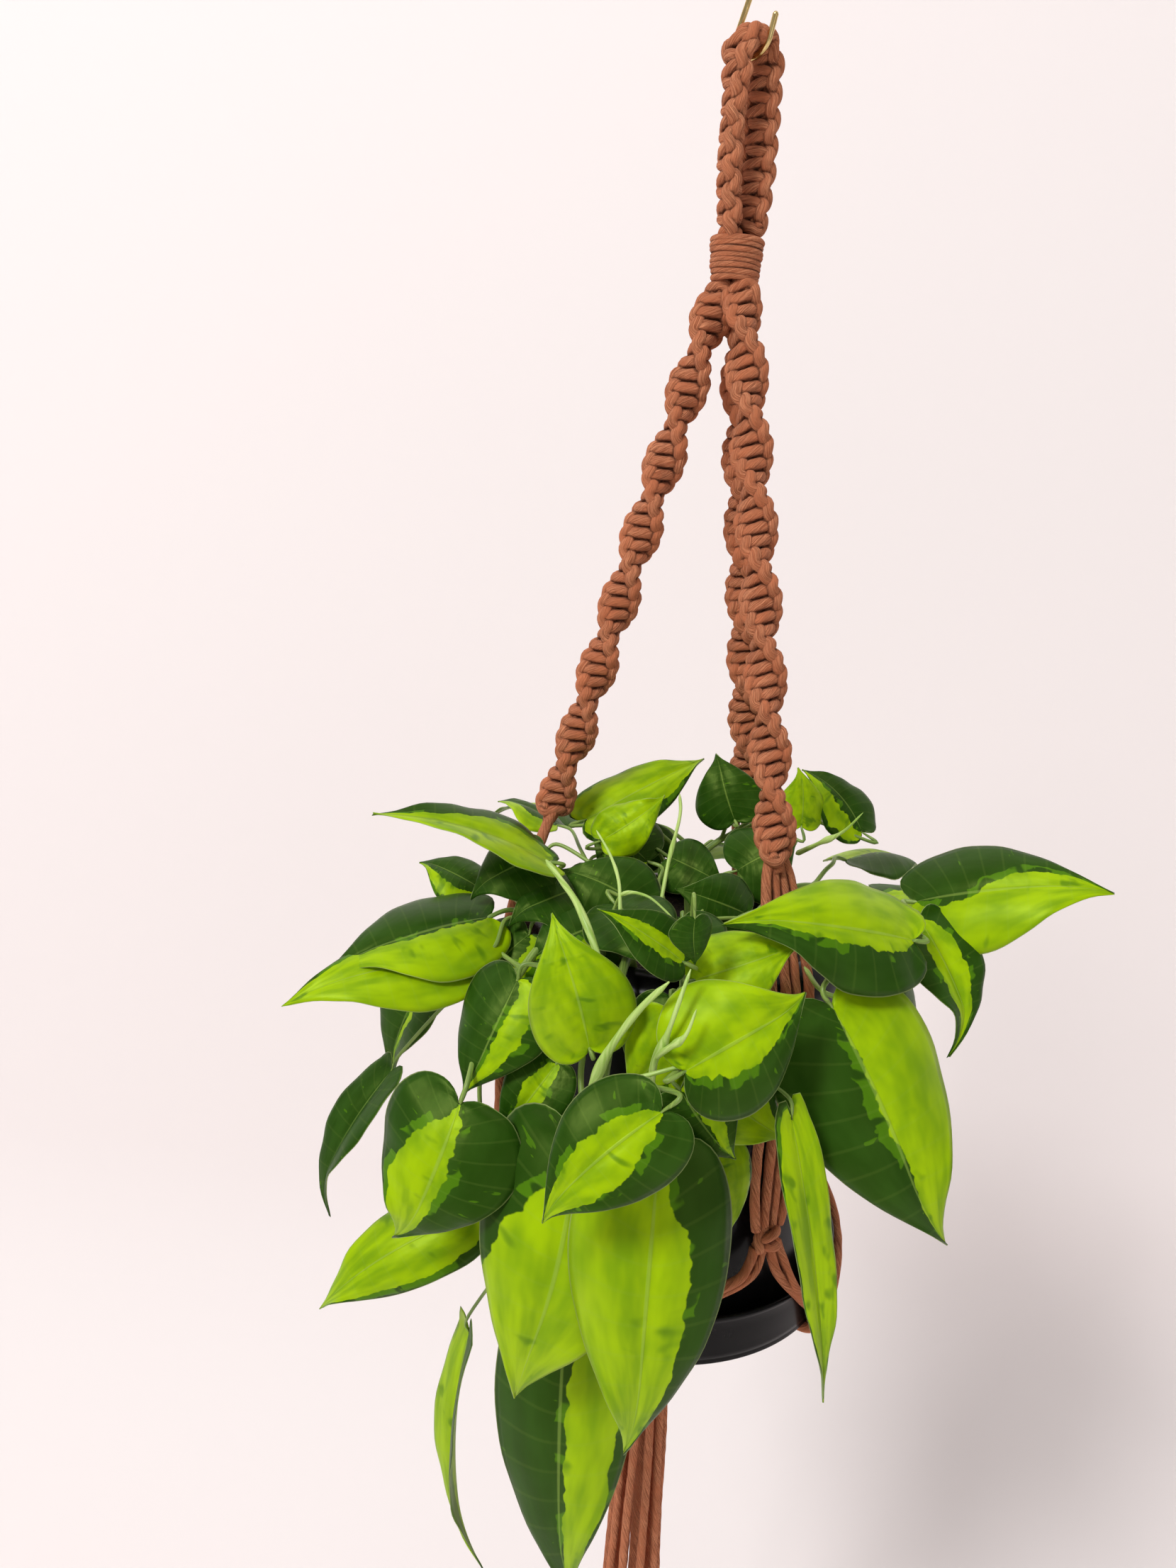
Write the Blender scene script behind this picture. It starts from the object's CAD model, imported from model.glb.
import math
import random

import bpy
import numpy as np
from mathutils import Matrix, Vector
from mathutils.kdtree import KDTree


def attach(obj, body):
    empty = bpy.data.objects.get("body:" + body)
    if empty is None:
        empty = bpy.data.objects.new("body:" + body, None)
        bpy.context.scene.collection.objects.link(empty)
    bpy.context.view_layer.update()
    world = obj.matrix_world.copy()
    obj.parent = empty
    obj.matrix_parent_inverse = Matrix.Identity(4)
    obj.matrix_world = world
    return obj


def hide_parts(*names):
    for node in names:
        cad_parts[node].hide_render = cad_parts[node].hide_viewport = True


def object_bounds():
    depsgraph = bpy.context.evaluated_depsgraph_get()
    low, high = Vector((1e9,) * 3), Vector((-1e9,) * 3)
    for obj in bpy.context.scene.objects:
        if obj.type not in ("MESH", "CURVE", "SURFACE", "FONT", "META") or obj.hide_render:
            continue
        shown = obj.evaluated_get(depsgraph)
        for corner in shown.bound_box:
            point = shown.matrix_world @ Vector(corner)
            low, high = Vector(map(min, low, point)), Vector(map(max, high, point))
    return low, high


# A hanging macrame planter. Lengths are millimetres until they become mesh points in metres.
# The frame is the CAD's: the origin is where the S-hook rests on a rail, +Z up, front along -Y.

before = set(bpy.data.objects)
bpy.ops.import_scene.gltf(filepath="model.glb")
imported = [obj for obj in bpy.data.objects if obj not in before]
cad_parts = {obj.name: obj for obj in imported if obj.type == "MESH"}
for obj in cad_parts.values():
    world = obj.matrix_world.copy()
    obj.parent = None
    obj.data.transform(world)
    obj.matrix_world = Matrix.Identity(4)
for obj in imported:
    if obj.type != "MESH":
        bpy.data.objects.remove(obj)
cad_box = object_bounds()
MM = 0.001
rng = random.Random(7)

# ---------------------------------------------------------------- sizes shared with the frame
CORD_R = 2.15
HOOK_WIRE_R = 1.15
HOOK_BEND_R = 8.2
HOOK_BOTTOM_Z = -57.2
HOOK_AZ = -40
HOOK_TIP_LEAN = 15
HOOK_TIP_LENGTH = 8.0
STRAP_APEX_Z = -45.5
STRAP_THICKNESS = 9.2
STRAP_FOLD_R = 8.2
STRAP_FOOT_OFFSET = 4.6
WRAP_TOP_Z = -120.0
WRAP_BOTTOM_Z = -138.0
ARM_AZIMUTHS = {"left": 184.7, "front": -55.3, "rear": 64.7}
ARM_BULGE_Z = {"left": -177.3, "front": -172.2, "rear": -174.0}
ARM_START_R = 4.9
ARM_TILT = math.radians(14.4)
ARM_END_Z = -365.5
ARM_HALF_TURN = 30.26
KNOTS_PER_HALF_TURN = 6
POT_R = 76.0
POT_TOP_Z = -409.0
POT_BOTTOM_Z = -576.0
POT_BOTTOM_R = 73.0
POT_SHOULDER_R = 12.0
SOIL_TOP_Z = -423.0
SAUCER_TOP_Z = -556.0
SAUCER_BOTTOM_Z = -580.1
SAUCER_TOP_R = 83.5
SAUCER_BOTTOM_R = 82.0
WALL = 2.0                   # of the pot and the saucer
SIDE_CORD_R = 80.2
CRADLE_KNOT_Z = -523.5
NET_R = 86.4
BASE_KNOT_R = 68.0
BASE_KNOT_TURN = 28.0
UNDER_Z = SAUCER_BOTTOM_Z - 0.35 - CORD_R
LOWER_WRAP_TOP_Z = -588.5
LOWER_WRAP_BOTTOM_Z = -606.5
HUB_R = 10.5
TASSEL_TOP_Z = -609.3
TASSEL_INNER_R = 2.6
TASSEL_OUTER_R = 7.05
TASSEL_INNER_COUNT = 3
TASSEL_OUTER_COUNT = 9
TASSEL_LEVELS = [(-645, 1.13), (-690, 1.42), (-742, 1.60), (-796, 1.84), (-845, 1.94)]
TASSEL_SWAY = [
    [(0.1, 0.3), (0.2, -0.4), (0.3, 0.5), (0.0, -0.3), (0.4, 0.2)],
    [(0.2, -0.2), (0.1, 0.5), (0.4, -0.3), (0.3, 0.4), (0.0, -0.5)],
    [(0.1, 0.2), (0.3, -0.3), (0.0, 0.4), (0.4, 0.6), (0.2, 0.1)],
    [(0.3, 0.2), (0.9, -0.5), (0.2, 0.7), (1.2, 0.1), (0.5, -0.6)],
    [(0.1, -0.2), (0.4, 0.5), (1.1, -0.4), (0.3, 0.5), (1.4, 0.2)],
    [(0.4, 0.1), (0.2, -0.4), (0.9, 0.3), (0.1, -0.8), (0.8, 0.3)],
    [(0.1, 0.3), (1.0, 0.2), (0.3, -0.5), (1.1, 0.6), (0.2, -0.2)],
    [(0.3, -0.2), (0.2, 0.6), (1.2, 0.1), (0.4, -0.5), (1.5, 0.4)],
    [(0.0, 0.2), (0.8, -0.4), (0.1, 0.5), (0.9, -0.2), (0.3, 0.7)],
    [(0.4, 0.0), (0.2, 0.5), (1.0, -0.6), (0.2, 0.4), (1.1, -0.3)],
    [(0.1, -0.3), (1.1, 0.3), (0.4, 0.6), (1.3, -0.4), (0.4, 0.3)],
    [(0.3, 0.2), (0.1, -0.6), (0.8, 0.2), (0.3, 0.7), (1.2, -0.4)],
]

# ---------------------------------------------------------------- camera
CAMERA_AT = (0.0, -508.8, -218.4)
CAMERA_YAW = math.radians(-5.29)
CAMERA_PITCH = math.radians(-14.31)
CAMERA_ROLL = math.radians(3.27)
CAMERA_LENS = 27.02          # for a picture 36 mm high


def make_camera():
    yaw, pitch, roll = CAMERA_YAW, CAMERA_PITCH, CAMERA_ROLL
    forward = Vector((math.sin(yaw) * math.cos(pitch), math.cos(yaw) * math.cos(pitch), math.sin(pitch)))
    level = Vector((math.cos(yaw), -math.sin(yaw), 0))
    upright = level.cross(forward)
    right = level * math.cos(roll) + upright * math.sin(roll)
    up = upright * math.cos(roll) - level * math.sin(roll)
    data = bpy.data.cameras.new("camera")
    data.sensor_fit = "VERTICAL"
    data.sensor_height = 36
    data.lens = CAMERA_LENS
    data.clip_start = 0.01
    camera = bpy.data.objects.new("camera", data)
    bpy.context.collection.objects.link(camera)
    turn = Matrix((right, up, -forward)).transposed().to_4x4()
    camera.matrix_world = Matrix.Translation(Vector(CAMERA_AT) * MM) @ turn
    bpy.context.scene.camera = camera


# ---------------------------------------------------------------- paths and tubes
def polar(azimuth, radius, z, sideways=0.0):
    """A point at an azimuth and radius about the axis, moved sideways, anticlockwise from above."""
    a = math.radians(azimuth)
    return np.array((radius * math.cos(a) - sideways * math.sin(a),
                     radius * math.sin(a) + sideways * math.cos(a), z))


def unit(v):
    v = np.asarray(v, float)
    return v / np.linalg.norm(v, axis=-1, keepdims=True)


def evenly(points, step):
    """The same polyline with points at even steps."""
    points = np.asarray(points, float)
    gaps = np.linalg.norm(np.diff(points, axis=0), axis=1)
    along = np.concatenate(([0], np.cumsum(gaps)))
    count = max(2, int(round(along[-1] / step)) + 1)
    want = np.linspace(0, along[-1], count)
    return np.stack([np.interp(want, along, points[:, i]) for i in range(3)], axis=1)


def through(points, step=0.9):
    """A smooth line through the points."""
    p = np.asarray(points, float)
    p = np.vstack((2 * p[0] - p[1], p, 2 * p[-1] - p[-2]))
    t = np.linspace(0, 1, 8, endpoint=False)[:, None]
    parts = []
    for a, b, c, d in zip(p, p[1:], p[2:], p[3:]):
        parts.append(0.5 * (2 * b + (c - a) * t + (2 * a - 5 * b + 4 * c - d) * t ** 2
                            + (3 * b - a - 3 * c + d) * t ** 3))
    parts.append(p[-2][None])
    return evenly(np.vstack(parts), step)


def inside(points, step=1.5):
    """A smooth line that rounds the corners of a route, ending on its end points."""
    p = [np.asarray(q, float) for q in points]
    if len(p) < 3:
        return evenly(p, step)
    t = np.linspace(0, 1, 12)[:, None]
    parts = []
    for i in range(1, len(p) - 1):
        start = p[0] if i == 1 else (p[i - 1] + p[i]) / 2
        end = p[-1] if i == len(p) - 2 else (p[i] + p[i + 1]) / 2
        parts.append((1 - t) ** 2 * start + 2 * t * (1 - t) * p[i] + t ** 2 * end)
    return evenly(np.vstack(parts), step)


class Tubes:
    """Gathers round cords into one mesh, with the attributes that the fibre materials read."""

    def __init__(self):
        self.points = []
        self.outward = []
        self.faces = []
        self.fibre = []
        self.tone = []
        self.count = 0

    def add(self, path, radius, sides=12, lay=0.42, lobes=0.0, flat=None, side=None, wobble=0.0):
        """One cord along path. flat=(a, b) squashes its section, with a towards side."""
        path = np.asarray(path, float)
        n = len(path)
        tangent = unit(np.gradient(path, axis=0))
        if side is None:
            normal = np.zeros((n, 3))
            seed = np.array((0.0, 0.0, 1.0)) if abs(tangent[0][2]) < 0.9 else np.array((1.0, 0.0, 0.0))
            normal[0] = unit(np.cross(tangent[0], seed))
            for i in range(1, n):
                v = normal[i - 1] - tangent[i] * np.dot(normal[i - 1], tangent[i])
                normal[i] = unit(v)
        else:
            side = np.asarray(side, float)
            normal = unit(side - tangent * np.sum(side * tangent, axis=1, keepdims=True))
        binormal = np.cross(tangent, normal)
        gaps = np.linalg.norm(np.diff(path, axis=0), axis=1)
        along = np.concatenate(([0], np.cumsum(gaps)))
        phase = rng.uniform(0, 6.28)
        radius = np.broadcast_to(np.asarray(radius, float), (n,))
        swell = 1 + wobble * np.sin(along * 0.31 + phase) * np.sin(along * 0.113 + 2 * phase)
        angle = np.linspace(0, 2 * math.pi, sides, endpoint=False)
        turn = angle[None] + phase + along[:, None] * lay / np.maximum(radius[:, None], 0.5)
        reach = radius[:, None] * swell[:, None] * (1 + lobes * np.cos(3 * turn))
        a, b = flat if flat else (1.0, 1.0)
        ring = (path[:, None] + normal[:, None] * (reach * a * np.cos(angle))[:, :, None]
                + binormal[:, None] * (reach * b * np.sin(angle))[:, :, None])
        offset = rng.uniform(0, 500)
        fibre = np.stack((np.cos(turn) * radius[:, None], np.sin(turn) * radius[:, None],
                          np.broadcast_to(along[:, None] + offset, turn.shape)), axis=2)
        first = self.count
        self.points.append(ring.reshape(-1, 3))
        self.outward.append(unit(ring - path[:, None]).reshape(-1, 3))
        self.fibre.append(fibre.reshape(-1, 3))
        i = np.arange(n - 1)[:, None]
        j = np.arange(sides)[None]
        k = (j + 1) % sides
        quads = np.stack((i * sides + j, i * sides + k, (i + 1) * sides + k, (i + 1) * sides + j), axis=2)
        self.faces.extend((quads.reshape(-1, 4) + first).tolist())
        self.faces.append([first + q for q in range(sides)][::-1])
        self.faces.append([first + (n - 1) * sides + q for q in range(sides)])
        self.tone.append(np.full(n * sides, rng.uniform(0, 1)))
        self.count += n * sides

    def creases(self):
        """How closely other cord surfaces crowd each point, 0 in the open to 1 in a crevice."""
        points = np.vstack(self.points)
        outward = np.vstack(self.outward)
        tree = KDTree(len(points))
        for i, p in enumerate(points):
            tree.insert(p, i)
        tree.balance()
        crowding = np.zeros(len(points))
        for reach in (0.8, 1.6):
            probes = points + outward * reach
            gaps = np.array([tree.find(p)[2] for p in probes])
            crowding += np.clip((0.93 * reach - gaps) / (0.55 * reach), 0, 1) / 2
        return crowding

    def make(self, name, material):
        mesh = bpy.data.meshes.new(name)
        mesh.from_pydata((np.vstack(self.points) * MM).tolist(), [], self.faces)
        fibre = mesh.attributes.new("fibre", "FLOAT_VECTOR", "POINT")
        fibre.data.foreach_set("vector", np.vstack(self.fibre).ravel())
        tone = mesh.attributes.new("tone", "FLOAT", "POINT")
        tone.data.foreach_set("value", np.concatenate(self.tone))
        crease = mesh.attributes.new("crease", "FLOAT", "POINT")
        crease.data.foreach_set("value", self.creases())
        return finished(name, mesh, material)


def finished(name, mesh, material):
    mesh.polygons.foreach_set("use_smooth", [True] * len(mesh.polygons))
    mesh.materials.append(material)
    piece = bpy.data.objects.new(name, mesh)
    bpy.context.collection.objects.link(piece)
    return piece


def placed(piece, body, slot, *nodes):
    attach(piece, body)
    if nodes:
        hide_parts(*nodes)
    return piece


def hung(tubes, name, material):
    """Cords of the hanger that stand for the node of the same name."""
    placed(tubes.make(name, material), "hanger", "cotton_cord", name)


def lathe(name, profile, material, segments=128):
    """A turned shell from points (radius, height) that end on the axis or close on themselves."""
    profile = np.asarray(profile, float)
    angle = np.linspace(0, 2 * math.pi, segments, endpoint=False)
    rings = []
    points = []
    for r, z in profile:
        if r < 0.01:
            rings.append([len(points)] * segments)
            points.append((0, 0, z * MM))
        else:
            rings.append(list(range(len(points), len(points) + segments)))
            points.extend((r * MM * math.cos(a), r * MM * math.sin(a), z * MM) for a in angle)
    faces = []
    for low, high in zip(rings, rings[1:]):
        for j in range(segments):
            k = (j + 1) % segments
            face = []
            for v in (low[j], low[k], high[k], high[j]):
                if v not in face:
                    face.append(v)
            if len(face) > 2:
                faces.append(face)
    mesh = bpy.data.meshes.new(name)
    mesh.from_pydata(points, [], faces)
    return finished(name, mesh, material)


def arc(centre, radius, start, end, count=10):
    return [(centre[0] + radius * math.cos(math.radians(a)), centre[1] + radius * math.sin(math.radians(a)))
            for a in np.linspace(start, end, count)]


# ---------------------------------------------------------------- materials
class Nodes:
    """Short calls for building a node material."""

    def __init__(self, name):
        self.material = bpy.data.materials.new(name)
        self.material.use_nodes = True
        self.tree = self.material.node_tree
        self.shader = self.tree.nodes["Principled BSDF"]

    def node(self, kind, **values):
        node = self.tree.nodes.new(kind)
        for key, value in values.items():
            if hasattr(node, key):
                setattr(node, key, value)
            else:
                node.inputs[key.replace("_", " ")].default_value = value
        return node

    def link(self, a, b):
        self.tree.links.new(a, b)

    def attribute(self, name, output="Vector"):
        node = self.node("ShaderNodeAttribute")
        node.attribute_name = name
        return node.outputs[output]

    def parts(self, name):
        """The three numbers of a vector attribute."""
        node = self.node("ShaderNodeSeparateXYZ")
        self.link(self.attribute(name), node.inputs[0])
        return node.outputs

    def math(self, operation, a, b=None):
        node = self.node("ShaderNodeMath", operation=operation)
        for i, value in enumerate((a, b)):
            if value is None:
                continue
            if isinstance(value, (int, float)):
                node.inputs[i].default_value = value
            else:
                self.link(value, node.inputs[i])
        return node.outputs[0]

    def plus(self, a, b):
        return self.math("ADD", a, b)

    def minus(self, a, b):
        return self.math("SUBTRACT", a, b)

    def times(self, a, b):
        return self.math("MULTIPLY", a, b)

    def scaled(self, vector, scale):
        node = self.node("ShaderNodeMapping")
        node.inputs["Scale"].default_value = scale
        self.link(vector, node.inputs["Vector"])
        return node.outputs[0]

    def noise(self, vector, scale=1.0, detail=2.0, roughness=0.5):
        node = self.node("ShaderNodeTexNoise", Scale=scale, Detail=detail, Roughness=roughness)
        self.link(vector, node.inputs["Vector"])
        return node.outputs["Fac"]

    def between(self, value, low, high):
        """0 below low, 1 above high, smooth between."""
        node = self.node("ShaderNodeMapRange", interpolation_type="SMOOTHSTEP")
        self.link(value, node.inputs["Value"])
        node.inputs["From Min"].default_value = low
        node.inputs["From Max"].default_value = high
        return node.outputs[0]

    def mix(self, factor, a, b):
        node = self.node("ShaderNodeMix", data_type="RGBA")
        for socket, value in ((node.inputs[0], factor), (node.inputs[6], a), (node.inputs[7], b)):
            if isinstance(value, (int, float)):
                socket.default_value = value
            elif isinstance(value, tuple):
                socket.default_value = (*value, 1)
            else:
                self.link(value, socket)
        return node.outputs[2]

    def colour(self, colour):
        self.link(colour, self.shader.inputs["Base Color"])

    def bump(self, height, strength, distance):
        node = self.node("ShaderNodeBump", Strength=strength, Distance=distance)
        self.link(height, node.inputs["Height"])
        self.link(node.outputs[0], self.shader.inputs["Normal"])

    def rough(self, value, low, high):
        """Roughness from low to high as value goes from 0 to 1."""
        node = self.node("ShaderNodeMapRange", To_Min=low, To_Max=high)
        self.link(value, node.inputs["Value"])
        self.link(node.outputs[0], self.shader.inputs["Roughness"])

    def set(self, **values):
        """Fixed values of the shader's inputs, named with _ for a space."""
        for key, value in values.items():
            self.shader.inputs[key.replace("_", " ")].default_value = value

    def position(self):
        return self.node("ShaderNodeTexCoord").outputs["Object"]


def cotton():
    """Soft single-strand cotton cord: fine twisted fibres, a little fuzz, uneven dye."""
    n = Nodes("cotton_cord")
    fibre = n.attribute("fibre")
    fine = n.noise(n.scaled(fibre, (2.6, 2.6, 0.13)), detail=3.0, roughness=0.65)
    coarse = n.noise(n.scaled(fibre, (1.0, 1.0, 0.06)), detail=1.0)
    blotch = n.noise(n.scaled(fibre, (0.12, 0.12, 0.06)), detail=2.0)
    tone = n.attribute("tone", "Fac")
    light = n.mix(n.between(fine, 0.36, 0.66), (0.36, 0.100, 0.042), (0.90, 0.365, 0.185))
    deep = n.mix(n.between(blotch, 0.35, 0.75), light, (0.66, 0.205, 0.090))
    colour = n.mix(n.times(tone, 0.25), deep, (0.52, 0.155, 0.066))
    crease = n.attribute("crease", "Fac")
    colour = n.mix(n.times(n.between(crease, 0.05, 0.9), 0.85), colour, (0.085, 0.018, 0.006))
    grooves = n.plus(fine, n.times(coarse, 0.9))
    n.colour(colour)
    n.bump(grooves, 1.0, 0.0014)
    n.set(Roughness=0.92, Specular_IOR_Level=0.18, Sheen_Weight=0.12, Sheen_Roughness=0.6,
          Sheen_Tint=(1.0, 0.62, 0.42, 1))
    return n.material


def brass():
    n = Nodes("brass_wire")
    place = n.position()
    wear = n.noise(n.scaled(place, (900, 900, 160)), detail=4.0)
    n.colour(n.mix(n.between(wear, 0.35, 0.7), (0.80, 0.60, 0.27), (0.58, 0.41, 0.16)))
    n.bump(wear, 0.12, 0.0002)
    n.set(Metallic=1.0, Roughness=0.22)
    return n.material


def black_plastic():
    n = Nodes("black_plastic")
    place = n.position()
    grain = n.noise(n.scaled(place, (700, 700, 700)), detail=3.0)
    dust = n.noise(n.scaled(place, (45, 45, 18)), detail=5.0, roughness=0.7)
    n.colour(n.mix(n.between(dust, 0.52, 0.78), (0.0045, 0.0043, 0.0045), (0.013, 0.012, 0.012)))
    n.rough(dust, 0.15, 0.30)
    n.bump(grain, 0.05, 0.0002)
    n.set(Specular_IOR_Level=0.13)
    return n.material


def compost():
    n = Nodes("compost")
    place = n.position()
    lumps = n.noise(n.scaled(place, (260, 260, 260)), detail=6.0, roughness=0.7)
    bits = n.noise(n.scaled(place, (620, 620, 300)), detail=2.0)
    dark = n.mix(n.between(lumps, 0.35, 0.7), (0.012, 0.007, 0.004), (0.055, 0.031, 0.017))
    n.colour(n.mix(n.between(bits, 0.62, 0.75), dark, (0.16, 0.10, 0.055)))
    n.bump(lumps, 0.9, 0.003)
    n.set(Roughness=0.95)
    return n.material


def stem_skin(name, young, old):
    """Plant stalk: smooth skin, streaked lengthways, with darker rings here and there."""
    n = Nodes(name)
    fibre = n.attribute("fibre")
    streak = n.noise(n.scaled(fibre, (0.9, 0.9, 0.03)), detail=2.0)
    patch = n.noise(n.scaled(fibre, (0.1, 0.1, 0.045)), detail=2.0)
    colour = n.mix(n.between(streak, 0.35, 0.7), young, old)
    colour = n.mix(n.times(n.between(patch, 0.5, 0.75), 0.5), colour, old)
    n.colour(colour)
    n.bump(streak, 0.25, 0.0004)
    n.set(Roughness=0.42, Subsurface_Weight=0.15, Subsurface_Radius=(0.002, 0.003, 0.001))
    return n.material


DARK = (0.012, 0.050, 0.002)
MIDDLE = (0.062, 0.175, 0.003)
LIME = (0.34, 0.52, 0.001)


def leaf_skin():
    """Variegated leaf: lime zones with jagged borders that follow the side veins."""
    n = Nodes("leaf")
    rib, side, seed = n.parts("leaf")
    low, high, under = n.parts("zone")
    bands = n.math("SINE", n.times(rib, 2 * math.pi * 11))

    def streaks(along, across, shift, detail=2.0):
        place = n.node("ShaderNodeCombineXYZ")
        n.link(n.times(rib, along), place.inputs[0])
        n.link(n.times(side, across), place.inputs[1])
        n.link(n.plus(n.times(seed, 37.0), shift), place.inputs[2])
        return n.noise(place.outputs[0], detail=detail, roughness=0.6)

    jag = n.minus(n.plus(n.times(streaks(9, 0.6, 0), 0.8), n.times(streaks(30, 1.6, 9), 0.2)), 0.5)
    wide = n.minus(streaks(2.2, 0.4, 5, 0.0), 0.5)
    shift = n.plus(n.times(jag, 0.42), n.times(wide, 0.4))
    at = n.plus(side, shift)
    above = n.between(n.minus(at, low), -0.012, 0.012)
    below = n.between(n.minus(high, at), -0.012, 0.012)
    lime_zone = n.times(above, below)
    near = n.between(n.minus(at, low), -0.17, -0.15)
    near_high = n.between(n.minus(high, at), -0.17, -0.15)
    halo = n.times(n.times(near, near_high), n.between(streaks(6, 0.8, 31), 0.52, 0.55))
    flecks = n.between(streaks(22, 2.0, 17), 0.70, 0.72)
    splash = n.between(streaks(8, 1.0, 23), 0.60, 0.72)
    soft = n.noise(n.scaled(n.attribute("leaf"), (5, 3, 60)), detail=2.0)

    dark = n.mix(n.between(soft, 0.3, 0.75), DARK, (0.020, 0.070, 0.005))
    lime = n.mix(n.between(soft, 0.3, 0.75), LIME, (0.18, 0.33, 0.002))
    dark = n.mix(n.math("MAXIMUM", halo, n.times(flecks, 0.8)), dark, MIDDLE)
    lime = n.mix(n.times(splash, 0.75), lime, MIDDLE)
    colour = n.mix(lime_zone, dark, lime)
    pale = n.mix(0.55, colour, (0.17, 0.33, 0.03))
    colour = n.mix(n.times(under, 0.75), colour, pale)
    vein = n.between(bands, 0.90, 1.0)
    colour = n.mix(n.times(vein, 0.05), colour, (0.30, 0.44, 0.08))
    across = n.math("ABSOLUTE", side)
    midrib = n.minus(1.0, n.between(across, 0.012, 0.035))
    colour = n.mix(n.times(midrib, 0.35), colour, (0.30, 0.44, 0.08))
    margin = n.between(across, 0.978, 0.995)
    colour = n.mix(n.times(margin, 0.55), colour, (0.36, 0.44, 0.16))
    n.colour(colour)
    relief = n.plus(n.times(bands, -0.10), n.times(streaks(9, 3, 3), 0.9))
    relief = n.minus(relief, n.times(midrib, 0.9))
    n.bump(relief, 0.35, 0.0007)
    n.rough(soft, 0.34, 0.50)
    n.set(Specular_IOR_Level=0.30, Specular_Tint=(0.75, 1.00, 0.22, 1), Subsurface_Weight=0.12,
          Subsurface_Radius=(0.001, 0.002, 0.0005))
    return n.material


def plain(name, colour, roughness):
    """A matt surface that is clear from its back, so that a view from behind a wall sees past it."""
    n = Nodes(name)
    place = n.position()
    mottle = n.noise(n.scaled(place, (1.2, 1.2, 1.2)), detail=1.0)
    deep = tuple(c * 0.99 for c in colour)
    n.colour(n.mix(mottle, colour, deep))
    n.set(Roughness=roughness)
    one_sided = n.node("ShaderNodeMixShader")
    n.link(n.node("ShaderNodeNewGeometry").outputs["Backfacing"], one_sided.inputs[0])
    n.link(n.shader.outputs[0], one_sided.inputs[1])
    n.link(n.node("ShaderNodeBsdfTransparent").outputs[0], one_sided.inputs[2])
    n.link(one_sided.outputs[0], n.tree.nodes["Material Output"].inputs["Surface"])
    return n.material


# ---------------------------------------------------------------- knots
def crossing_points(knots, front_first, spiral, pitch, half, deep, lead=0.0):
    """The two working cords of a sennit, as points (across, outwards, down).

    In each knot one cord crosses the front and the other the back. Where it arrives it passes
    through the other's loop and out to the edge, and then comes down to its next crossing, in
    front of the next arrival or behind it, and hooks round below it.
    """
    cords = []
    for which in (0, 1):
        points = []
        for k in range(knots):
            down = lead + k * pitch
            flipped = (k % 2 == 1) and not spiral
            front = (which == 0) if not spiral else ((k % 2 == 0) == (which == 0))
            f = 1 if front else -1
            way = f if front_first else -f
            if flipped:
                way = -way
            points += [
                (-way * half * 0.78, f * deep * 0.30, down + pitch * 0.40),
                (-way * half * 0.52, f * deep * 0.92, down + pitch * 0.20),
                (0.0, f * deep * 1.06, down + pitch * 0.02),
                (way * half * 0.50, f * deep * 0.82, down - pitch * 0.16),
                (way * half * 0.7192, -f * deep * 0.02, down - pitch * 0.10),
                (way * half, -f * deep * 0.24, down + pitch * 0.22),
            ]
            if k < knots - 1:
                next_f = -f if spiral else f
                points += [
                    (way * half * 1.02, -next_f * deep * 0.58, down + pitch * 0.60),
                    (way * half * 0.92, -next_f * deep * 0.78, down + pitch * 0.95),
                    (way * half * 0.86, -next_f * deep * 0.34, down + pitch * 1.28),
                ]
        cords.append(points)
    return cords


def add_sennit(tubes, place, knots, spiral, pitch, half, deep, radius, length, lead=0.0, front_first=True):
    """Working cords and two fillers of a sennit; place(across, outwards, down) gives the point."""
    for points in crossing_points(knots, front_first, spiral, pitch, half, deep, lead):
        line = [place(*p) for p in points]
        tubes.add(through(line, 0.8), radius, sides=14, lobes=0.035, wobble=0.05)
    for across in (-1, 1):
        steps = max(3, int(length / 4))
        line = [place(across * radius * 0.92, 0, d) for d in np.linspace(-1.5, length, steps)]
        tubes.add(through(line, 1.6), radius * 0.95, sides=10, lobes=0.03)


def make_arm(side, material):
    azimuth = ARM_AZIMUTHS[side]
    along = polar(azimuth, math.sin(ARM_TILT), -math.cos(ARM_TILT))
    start = polar(azimuth, ARM_START_R, WRAP_BOTTOM_Z)
    to_bulge = (WRAP_BOTTOM_Z - ARM_BULGE_Z[side]) / math.cos(ARM_TILT)
    length = (WRAP_BOTTOM_Z - ARM_END_Z) / math.cos(ARM_TILT)
    pitch = ARM_HALF_TURN / KNOTS_PER_HALF_TURN
    knots = int(length / pitch)

    def place(across, outwards, down):
        turn = math.pi * (down - to_bulge) / ARM_HALF_TURN
        right = np.array((math.cos(turn), math.sin(turn), 0))
        right = unit(right - along * np.dot(right, along))
        near = np.cross(along, right)
        squeeze = 0.62 + 0.38 * min(1.0, max(0.0, (down + 2) / 16))
        return start + along * down + (right * across + near * outwards) * squeeze

    tubes = Tubes()
    add_sennit(tubes, place, knots, True, pitch, 6.35, 2.25, 2.42, length, lead=1.5)
    hung(tubes, f"arm_{side}", material)


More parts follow.
